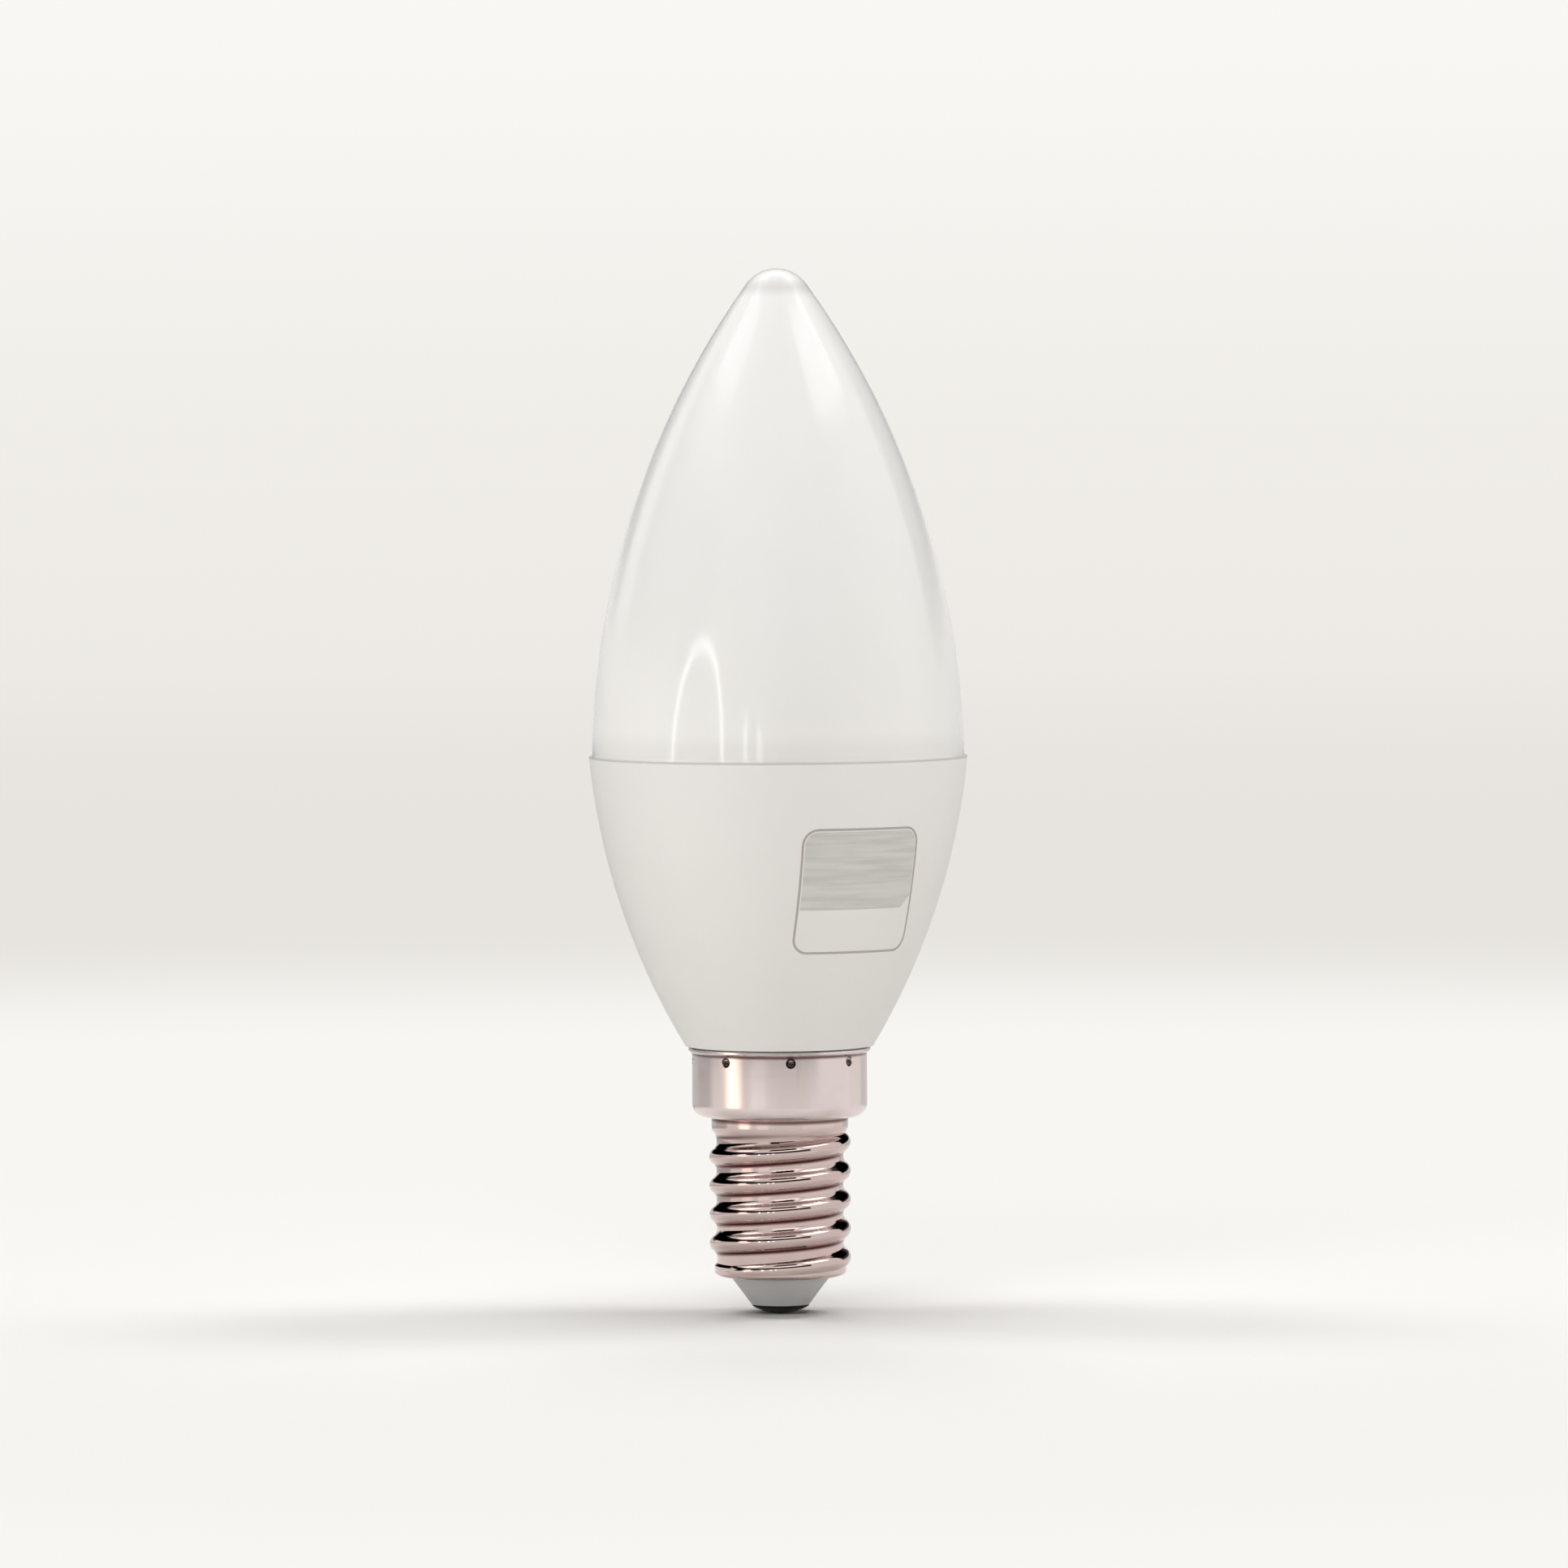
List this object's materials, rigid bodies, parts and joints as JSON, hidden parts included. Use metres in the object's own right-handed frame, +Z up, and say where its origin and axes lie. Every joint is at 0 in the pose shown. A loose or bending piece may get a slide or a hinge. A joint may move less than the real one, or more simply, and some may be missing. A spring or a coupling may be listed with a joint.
{
  "type": "led candle bulb",
  "caption": "Candle-shaped LED bulb with a milky cover, a white moulded housing and a small Edison screw cap.",
  "frame": {"origin": "lowest point of the centre contact, on the bulb's axis, where the cap seats in a lamp holder", "axes": "+Z up the bulb's axis from contact to tip, -Y towards the side that carries the badge field, +X to the right of that view"},
  "size_m": [0.0368, 0.0368, 0.1015],
  "materials": {
    "diffuser_plastic": "milky moulded cover, soft gloss",
    "housing_plastic": "moulded, satin",
    "cap_metal": "polished nickel plate with a warm tint",
    "insulator_plastic": "light grey moulded insulator",
    "contact_metal": "dark tinned contact",
    "spreader_metal": "pressed, satin",
    "led_board_lacquer": "white lacquer on aluminium",
    "led_package": "yellow phosphor in a white frame",
    "screw_steel": "plain",
    "terminal_plastic": "white moulding",
    "red_insulation": "insulated wire",
    "black_insulation": "insulated wire",
    "brown_insulation": "insulated wire",
    "blue_insulation": "insulated wire",
    "board_laminate": "green circuit board",
    "can_sleeve": "black sleeve on an aluminium can",
    "ferrite": "dark ferrite",
    "copper_winding": "lacquered copper wire",
    "film_coating": "dark red epoxy",
    "chip_plastic": "black epoxy with tinned legs",
    "resistor_coating": "sand-coloured coating"
  },
  "bodies": {
    "root": {"diffuser": "diffuser_plastic", "housing": "housing_plastic", "cap_shell": "cap_metal", "cap_insulator": "insulator_plastic", "centre_contact": "contact_metal", "heat_spreader": "spreader_metal", "led_board": "led_board_lacquer", "led_1": "led_package", "led_2": "led_package", "led_3": "led_package", "led_4": "led_package", "led_5": "led_package", "led_6": "led_package", "board_screws": "screw_steel", "board_terminal": "terminal_plastic", "lead_positive": "red_insulation", "lead_negative": "black_insulation", "driver_board": "board_laminate", "smoothing_capacitor": "can_sleeve", "choke_core": "ferrite", "choke_winding": "copper_winding", "film_capacitor": "film_coating", "bridge_rectifier": "chip_plastic", "driver_chip": "chip_plastic", "fuse_resistor": "resistor_coating", "live_wire": "brown_insulation", "neutral_wire": "blue_insulation"}
  },
  "joints": []
}
